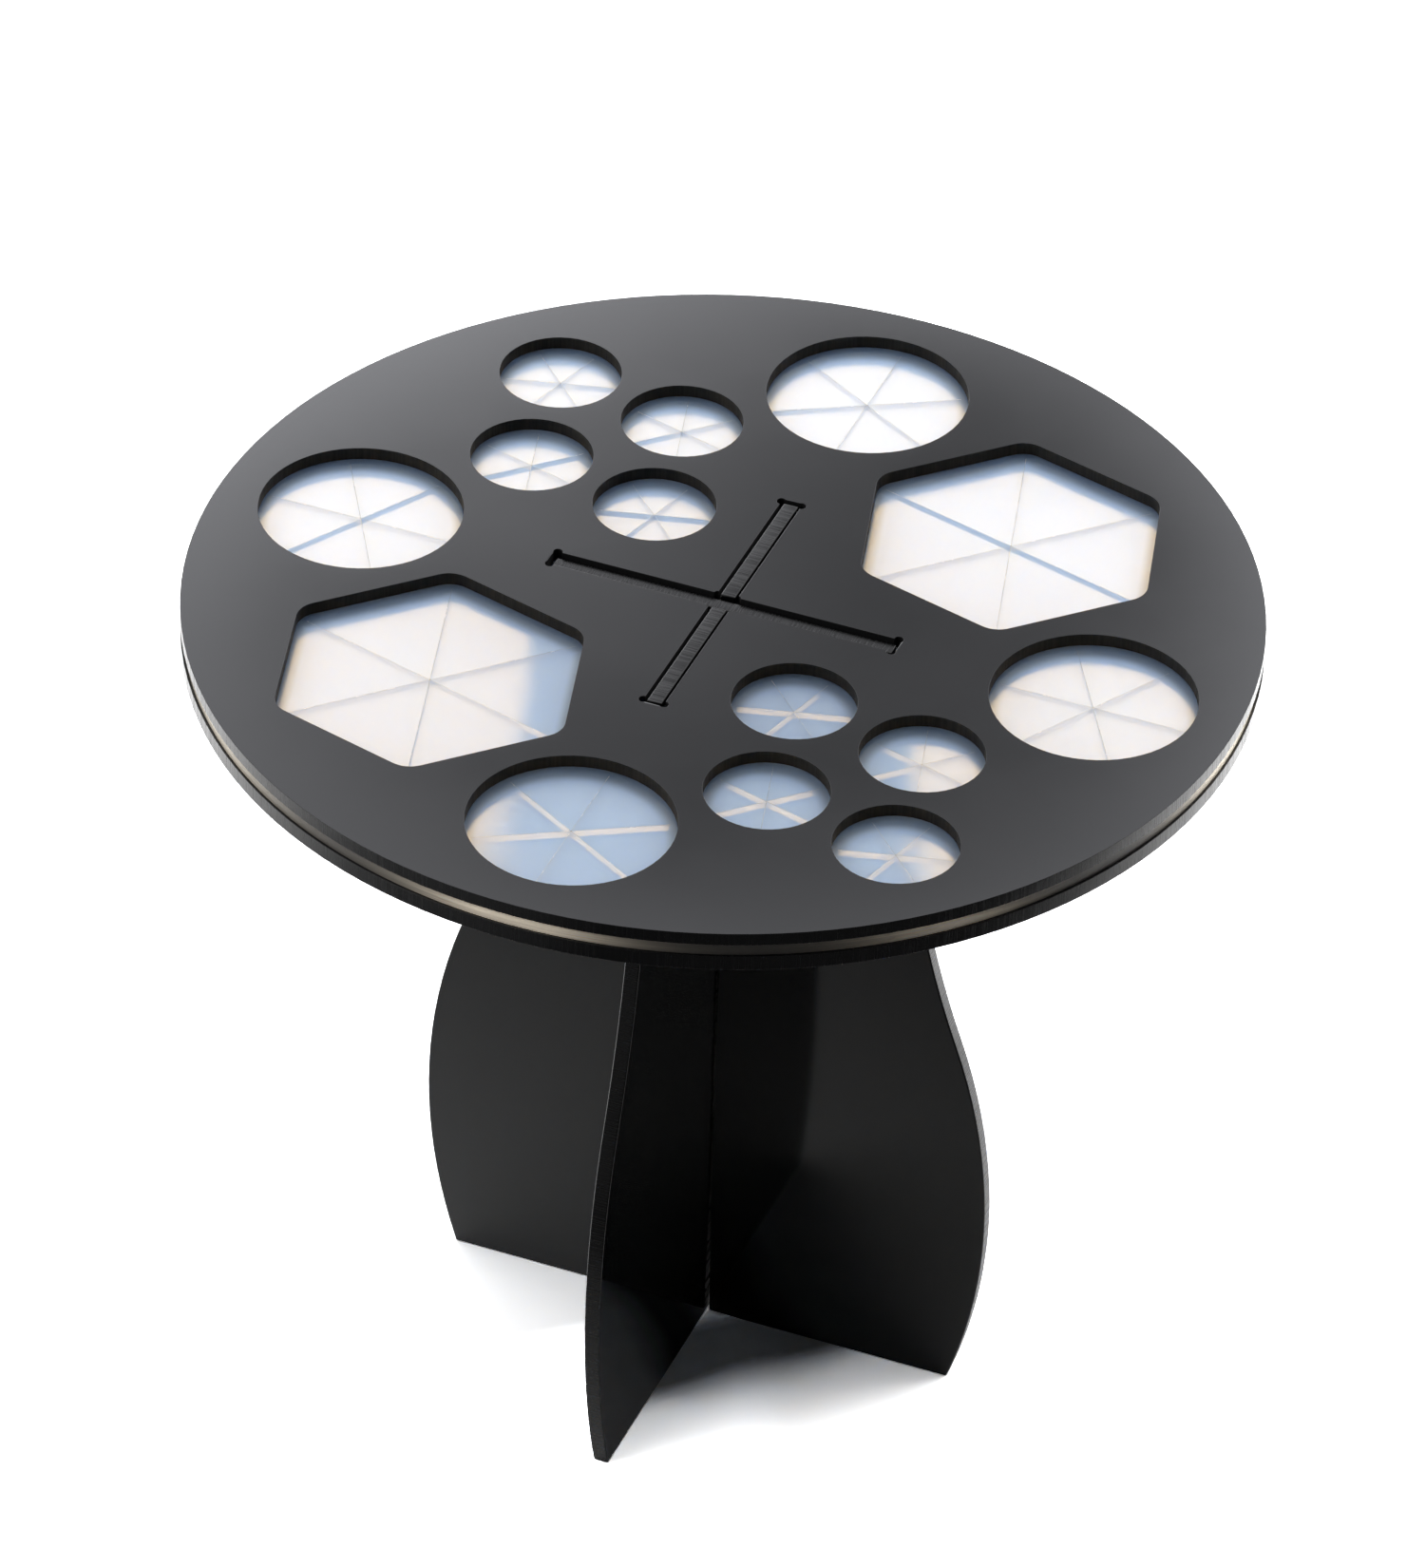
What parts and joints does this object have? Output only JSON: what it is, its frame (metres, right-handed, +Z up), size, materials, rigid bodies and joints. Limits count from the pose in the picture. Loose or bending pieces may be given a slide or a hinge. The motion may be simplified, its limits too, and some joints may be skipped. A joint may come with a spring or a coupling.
{
  "type": "brush drying stand",
  "caption": "Round black tray with star-slit soft openings on crossed, curved leg plates. It grips make-up brushes by the handle or ferrule while they dry.",
  "frame": {"origin": "on the floor plane, on the stand's vertical axis", "axes": "+Z up along the axis, X along the cross leg, Y along the slotted leg, -Y towards the front"},
  "size_m": [0.2, 0.2, 0.168],
  "materials": {
    "tray_acrylic": "satin black cast acrylic with laser-cut edges",
    "leg_acrylic": "satin black cast acrylic with laser-cut edges",
    "sheet": "translucent soft silicone, slightly milky"
  },
  "bodies": {
    "slotted_leg": {"slotted_leg": "leg_acrylic"},
    "cross_leg": {"cross_leg": "leg_acrylic"},
    "tray": {"lower_disc": "tray_acrylic", "slit_sheet": "sheet", "upper_disc": "tray_acrylic"},
    "hex_a_flap_1": {"hex_a_flap_1": "sheet"},
    "hex_a_flap_2": {"hex_a_flap_2": "sheet"},
    "hex_a_flap_3": {"hex_a_flap_3": "sheet"},
    "hex_a_flap_4": {"hex_a_flap_4": "sheet"},
    "hex_a_flap_5": {"hex_a_flap_5": "sheet"},
    "hex_a_flap_6": {"hex_a_flap_6": "sheet"},
    "hex_b_flap_1": {"hex_b_flap_1": "sheet"},
    "hex_b_flap_2": {"hex_b_flap_2": "sheet"},
    "hex_b_flap_3": {"hex_b_flap_3": "sheet"},
    "hex_b_flap_4": {"hex_b_flap_4": "sheet"},
    "hex_b_flap_5": {"hex_b_flap_5": "sheet"},
    "hex_b_flap_6": {"hex_b_flap_6": "sheet"},
    "round_a_flap_1": {"round_a_flap_1": "sheet"},
    "round_a_flap_2": {"round_a_flap_2": "sheet"},
    "round_a_flap_3": {"round_a_flap_3": "sheet"},
    "round_a_flap_4": {"round_a_flap_4": "sheet"},
    "round_a_flap_5": {"round_a_flap_5": "sheet"},
    "round_a_flap_6": {"round_a_flap_6": "sheet"},
    "round_b_flap_1": {"round_b_flap_1": "sheet"},
    "round_b_flap_2": {"round_b_flap_2": "sheet"},
    "round_b_flap_3": {"round_b_flap_3": "sheet"},
    "round_b_flap_4": {"round_b_flap_4": "sheet"},
    "round_b_flap_5": {"round_b_flap_5": "sheet"},
    "round_b_flap_6": {"round_b_flap_6": "sheet"},
    "round_c_flap_1": {"round_c_flap_1": "sheet"},
    "round_c_flap_2": {"round_c_flap_2": "sheet"},
    "round_c_flap_3": {"round_c_flap_3": "sheet"},
    "round_c_flap_4": {"round_c_flap_4": "sheet"},
    "round_c_flap_5": {"round_c_flap_5": "sheet"},
    "round_c_flap_6": {"round_c_flap_6": "sheet"},
    "round_d_flap_1": {"round_d_flap_1": "sheet"},
    "round_d_flap_2": {"round_d_flap_2": "sheet"},
    "round_d_flap_3": {"round_d_flap_3": "sheet"},
    "round_d_flap_4": {"round_d_flap_4": "sheet"},
    "round_d_flap_5": {"round_d_flap_5": "sheet"},
    "round_d_flap_6": {"round_d_flap_6": "sheet"}
  },
  "joints": [
    {"name": "cross_leg_lift", "type": "slide", "parent": "slotted_leg", "child": "cross_leg", "axis": [0, 0, 1], "range_m": [0, 0.17]},
    {"name": "tray_lift", "type": "slide", "parent": "cross_leg", "child": "tray", "axis": [0, 0, 1], "range_m": [0, 0.06]},
    {"name": "hex_a_flap_1_bend", "type": "hinge", "parent": "tray", "child": "hex_a_flap_1", "pos_m": [0.04757, 0.06517, 0.16425], "axis": [0.9659, -0.2588, 0], "range_deg": [-75, 75], "stiffness_Nm_per_rad": 0.0036},
    {"name": "hex_a_flap_2_bend", "type": "hinge", "parent": "tray", "child": "hex_a_flap_2", "pos_m": [0.02352, 0.05872, 0.16425], "axis": [0.7071, 0.7071, 0], "range_deg": [-75, 75], "stiffness_Nm_per_rad": 0.0036},
    {"name": "hex_a_flap_3_bend", "type": "hinge", "parent": "tray", "child": "hex_a_flap_3", "pos_m": [0.01708, 0.03468, 0.16425], "axis": [-0.2588, 0.9659, 0], "range_deg": [-75, 75], "stiffness_Nm_per_rad": 0.0036},
    {"name": "hex_a_flap_4_bend", "type": "hinge", "parent": "tray", "child": "hex_a_flap_4", "pos_m": [0.03468, 0.01708, 0.16425], "axis": [-0.9659, 0.2588, 0], "range_deg": [-75, 75], "stiffness_Nm_per_rad": 0.0036},
    {"name": "hex_a_flap_5_bend", "type": "hinge", "parent": "tray", "child": "hex_a_flap_5", "pos_m": [0.05872, 0.02352, 0.16425], "axis": [-0.7071, -0.7071, 0], "range_deg": [-75, 75], "stiffness_Nm_per_rad": 0.0036},
    {"name": "hex_a_flap_6_bend", "type": "hinge", "parent": "tray", "child": "hex_a_flap_6", "pos_m": [0.06517, 0.04757, 0.16425], "axis": [0.2588, -0.9659, 0], "range_deg": [-75, 75], "stiffness_Nm_per_rad": 0.0036},
    {"name": "hex_b_flap_1_bend", "type": "hinge", "parent": "tray", "child": "hex_b_flap_1", "pos_m": [-0.04757, -0.06517, 0.16425], "axis": [-0.9659, 0.2588, 0], "range_deg": [-75, 75], "stiffness_Nm_per_rad": 0.0036},
    {"name": "hex_b_flap_2_bend", "type": "hinge", "parent": "tray", "child": "hex_b_flap_2", "pos_m": [-0.02352, -0.05872, 0.16425], "axis": [-0.7071, -0.7071, 0], "range_deg": [-75, 75], "stiffness_Nm_per_rad": 0.0036},
    {"name": "hex_b_flap_3_bend", "type": "hinge", "parent": "tray", "child": "hex_b_flap_3", "pos_m": [-0.01708, -0.03468, 0.16425], "axis": [0.2588, -0.9659, 0], "range_deg": [-75, 75], "stiffness_Nm_per_rad": 0.0036},
    {"name": "hex_b_flap_4_bend", "type": "hinge", "parent": "tray", "child": "hex_b_flap_4", "pos_m": [-0.03468, -0.01708, 0.16425], "axis": [0.9659, -0.2588, 0], "range_deg": [-75, 75], "stiffness_Nm_per_rad": 0.0036},
    {"name": "hex_b_flap_5_bend", "type": "hinge", "parent": "tray", "child": "hex_b_flap_5", "pos_m": [-0.05872, -0.02352, 0.16425], "axis": [0.7071, 0.7071, 0], "range_deg": [-75, 75], "stiffness_Nm_per_rad": 0.0036},
    {"name": "hex_b_flap_6_bend", "type": "hinge", "parent": "tray", "child": "hex_b_flap_6", "pos_m": [-0.06517, -0.04757, 0.16425], "axis": [-0.2588, 0.9659, 0], "range_deg": [-75, 75], "stiffness_Nm_per_rad": 0.0036},
    {"name": "round_a_flap_1_bend", "type": "hinge", "parent": "tray", "child": "round_a_flap_1", "pos_m": [0.0863, 0.00779, 0.16425], "axis": [0.5, -0.866, 0], "range_deg": [-75, 75], "stiffness_Nm_per_rad": 0.0036},
    {"name": "round_a_flap_2_bend", "type": "hinge", "parent": "tray", "child": "round_a_flap_2", "pos_m": [0.0728, 0.01559, 0.16425], "axis": [1, 0, 0], "range_deg": [-75, 75], "stiffness_Nm_per_rad": 0.0036},
    {"name": "round_a_flap_3_bend", "type": "hinge", "parent": "tray", "child": "round_a_flap_3", "pos_m": [0.0593, 0.00779, 0.16425], "axis": [0.5, 0.866, 0], "range_deg": [-75, 75], "stiffness_Nm_per_rad": 0.0036},
    {"name": "round_a_flap_4_bend", "type": "hinge", "parent": "tray", "child": "round_a_flap_4", "pos_m": [0.0593, -0.00779, 0.16425], "axis": [-0.5, 0.866, 0], "range_deg": [-75, 75], "stiffness_Nm_per_rad": 0.0036},
    {"name": "round_a_flap_5_bend", "type": "hinge", "parent": "tray", "child": "round_a_flap_5", "pos_m": [0.0728, -0.01559, 0.16425], "axis": [-1, 0, 0], "range_deg": [-75, 75], "stiffness_Nm_per_rad": 0.0036},
    {"name": "round_a_flap_6_bend", "type": "hinge", "parent": "tray", "child": "round_a_flap_6", "pos_m": [0.0863, -0.00779, 0.16425], "axis": [-0.5, -0.866, 0], "range_deg": [-75, 75], "stiffness_Nm_per_rad": 0.0036},
    {"name": "round_b_flap_1_bend", "type": "hinge", "parent": "tray", "child": "round_b_flap_1", "pos_m": [-0.00779, 0.0863, 0.16425], "axis": [0.866, 0.5, 0], "range_deg": [-75, 75], "stiffness_Nm_per_rad": 0.0036},
    {"name": "round_b_flap_2_bend", "type": "hinge", "parent": "tray", "child": "round_b_flap_2", "pos_m": [-0.01559, 0.0728, 0.16425], "axis": [0, 1, 0], "range_deg": [-75, 75], "stiffness_Nm_per_rad": 0.0036},
    {"name": "round_b_flap_3_bend", "type": "hinge", "parent": "tray", "child": "round_b_flap_3", "pos_m": [-0.00779, 0.0593, 0.16425], "axis": [-0.866, 0.5, 0], "range_deg": [-75, 75], "stiffness_Nm_per_rad": 0.0036},
    {"name": "round_b_flap_4_bend", "type": "hinge", "parent": "tray", "child": "round_b_flap_4", "pos_m": [0.00779, 0.0593, 0.16425], "axis": [-0.866, -0.5, 0], "range_deg": [-75, 75], "stiffness_Nm_per_rad": 0.0036},
    {"name": "round_b_flap_5_bend", "type": "hinge", "parent": "tray", "child": "round_b_flap_5", "pos_m": [0.01559, 0.0728, 0.16425], "axis": [0, -1, 0], "range_deg": [-75, 75], "stiffness_Nm_per_rad": 0.0036},
    {"name": "round_b_flap_6_bend", "type": "hinge", "parent": "tray", "child": "round_b_flap_6", "pos_m": [0.00779, 0.0863, 0.16425], "axis": [0.866, -0.5, 0], "range_deg": [-75, 75], "stiffness_Nm_per_rad": 0.0036},
    {"name": "round_c_flap_1_bend", "type": "hinge", "parent": "tray", "child": "round_c_flap_1", "pos_m": [-0.0863, -0.00779, 0.16425], "axis": [-0.5, 0.866, 0], "range_deg": [-75, 75], "stiffness_Nm_per_rad": 0.0036},
    {"name": "round_c_flap_2_bend", "type": "hinge", "parent": "tray", "child": "round_c_flap_2", "pos_m": [-0.0728, -0.01559, 0.16425], "axis": [-1, 0, 0], "range_deg": [-75, 75], "stiffness_Nm_per_rad": 0.0036},
    {"name": "round_c_flap_3_bend", "type": "hinge", "parent": "tray", "child": "round_c_flap_3", "pos_m": [-0.0593, -0.00779, 0.16425], "axis": [-0.5, -0.866, 0], "range_deg": [-75, 75], "stiffness_Nm_per_rad": 0.0036},
    {"name": "round_c_flap_4_bend", "type": "hinge", "parent": "tray", "child": "round_c_flap_4", "pos_m": [-0.0593, 0.00779, 0.16425], "axis": [0.5, -0.866, 0], "range_deg": [-75, 75], "stiffness_Nm_per_rad": 0.0036},
    {"name": "round_c_flap_5_bend", "type": "hinge", "parent": "tray", "child": "round_c_flap_5", "pos_m": [-0.0728, 0.01559, 0.16425], "axis": [1, 0, 0], "range_deg": [-75, 75], "stiffness_Nm_per_rad": 0.0036},
    {"name": "round_c_flap_6_bend", "type": "hinge", "parent": "tray", "child": "round_c_flap_6", "pos_m": [-0.0863, 0.00779, 0.16425], "axis": [0.5, 0.866, 0], "range_deg": [-75, 75], "stiffness_Nm_per_rad": 0.0036},
    {"name": "round_d_flap_1_bend", "type": "hinge", "parent": "tray", "child": "round_d_flap_1", "pos_m": [0.00779, -0.0863, 0.16425], "axis": [-0.866, -0.5, 0], "range_deg": [-75, 75], "stiffness_Nm_per_rad": 0.0036},
    {"name": "round_d_flap_2_bend", "type": "hinge", "parent": "tray", "child": "round_d_flap_2", "pos_m": [0.01559, -0.0728, 0.16425], "axis": [0, -1, 0], "range_deg": [-75, 75], "stiffness_Nm_per_rad": 0.0036},
    {"name": "round_d_flap_3_bend", "type": "hinge", "parent": "tray", "child": "round_d_flap_3", "pos_m": [0.00779, -0.0593, 0.16425], "axis": [0.866, -0.5, 0], "range_deg": [-75, 75], "stiffness_Nm_per_rad": 0.0036},
    {"name": "round_d_flap_4_bend", "type": "hinge", "parent": "tray", "child": "round_d_flap_4", "pos_m": [-0.00779, -0.0593, 0.16425], "axis": [0.866, 0.5, 0], "range_deg": [-75, 75], "stiffness_Nm_per_rad": 0.0036},
    {"name": "round_d_flap_5_bend", "type": "hinge", "parent": "tray", "child": "round_d_flap_5", "pos_m": [-0.01559, -0.0728, 0.16425], "axis": [0, 1, 0], "range_deg": [-75, 75], "stiffness_Nm_per_rad": 0.0036},
    {"name": "round_d_flap_6_bend", "type": "hinge", "parent": "tray", "child": "round_d_flap_6", "pos_m": [-0.00779, -0.0863, 0.16425], "axis": [-0.866, 0.5, 0], "range_deg": [-75, 75], "stiffness_Nm_per_rad": 0.0036}
  ],
  "couplings": [
    {"joint": "hex_a_flap_2_bend", "follows": "hex_a_flap_1_bend", "ratio": 1},
    {"joint": "hex_a_flap_3_bend", "follows": "hex_a_flap_1_bend", "ratio": 1},
    {"joint": "hex_a_flap_4_bend", "follows": "hex_a_flap_1_bend", "ratio": 1},
    {"joint": "hex_a_flap_5_bend", "follows": "hex_a_flap_1_bend", "ratio": 1},
    {"joint": "hex_a_flap_6_bend", "follows": "hex_a_flap_1_bend", "ratio": 1},
    {"joint": "hex_b_flap_2_bend", "follows": "hex_b_flap_1_bend", "ratio": 1},
    {"joint": "hex_b_flap_3_bend", "follows": "hex_b_flap_1_bend", "ratio": 1},
    {"joint": "hex_b_flap_4_bend", "follows": "hex_b_flap_1_bend", "ratio": 1},
    {"joint": "hex_b_flap_5_bend", "follows": "hex_b_flap_1_bend", "ratio": 1},
    {"joint": "hex_b_flap_6_bend", "follows": "hex_b_flap_1_bend", "ratio": 1},
    {"joint": "round_a_flap_2_bend", "follows": "round_a_flap_1_bend", "ratio": 1},
    {"joint": "round_a_flap_3_bend", "follows": "round_a_flap_1_bend", "ratio": 1},
    {"joint": "round_a_flap_4_bend", "follows": "round_a_flap_1_bend", "ratio": 1},
    {"joint": "round_a_flap_5_bend", "follows": "round_a_flap_1_bend", "ratio": 1},
    {"joint": "round_a_flap_6_bend", "follows": "round_a_flap_1_bend", "ratio": 1},
    {"joint": "round_b_flap_2_bend", "follows": "round_b_flap_1_bend", "ratio": 1},
    {"joint": "round_b_flap_3_bend", "follows": "round_b_flap_1_bend", "ratio": 1},
    {"joint": "round_b_flap_4_bend", "follows": "round_b_flap_1_bend", "ratio": 1},
    {"joint": "round_b_flap_5_bend", "follows": "round_b_flap_1_bend", "ratio": 1},
    {"joint": "round_b_flap_6_bend", "follows": "round_b_flap_1_bend", "ratio": 1},
    {"joint": "round_c_flap_2_bend", "follows": "round_c_flap_1_bend", "ratio": 1},
    {"joint": "round_c_flap_3_bend", "follows": "round_c_flap_1_bend", "ratio": 1},
    {"joint": "round_c_flap_4_bend", "follows": "round_c_flap_1_bend", "ratio": 1},
    {"joint": "round_c_flap_5_bend", "follows": "round_c_flap_1_bend", "ratio": 1},
    {"joint": "round_c_flap_6_bend", "follows": "round_c_flap_1_bend", "ratio": 1},
    {"joint": "round_d_flap_2_bend", "follows": "round_d_flap_1_bend", "ratio": 1},
    {"joint": "round_d_flap_3_bend", "follows": "round_d_flap_1_bend", "ratio": 1},
    {"joint": "round_d_flap_4_bend", "follows": "round_d_flap_1_bend", "ratio": 1},
    {"joint": "round_d_flap_5_bend", "follows": "round_d_flap_1_bend", "ratio": 1},
    {"joint": "round_d_flap_6_bend", "follows": "round_d_flap_1_bend", "ratio": 1}
  ]
}
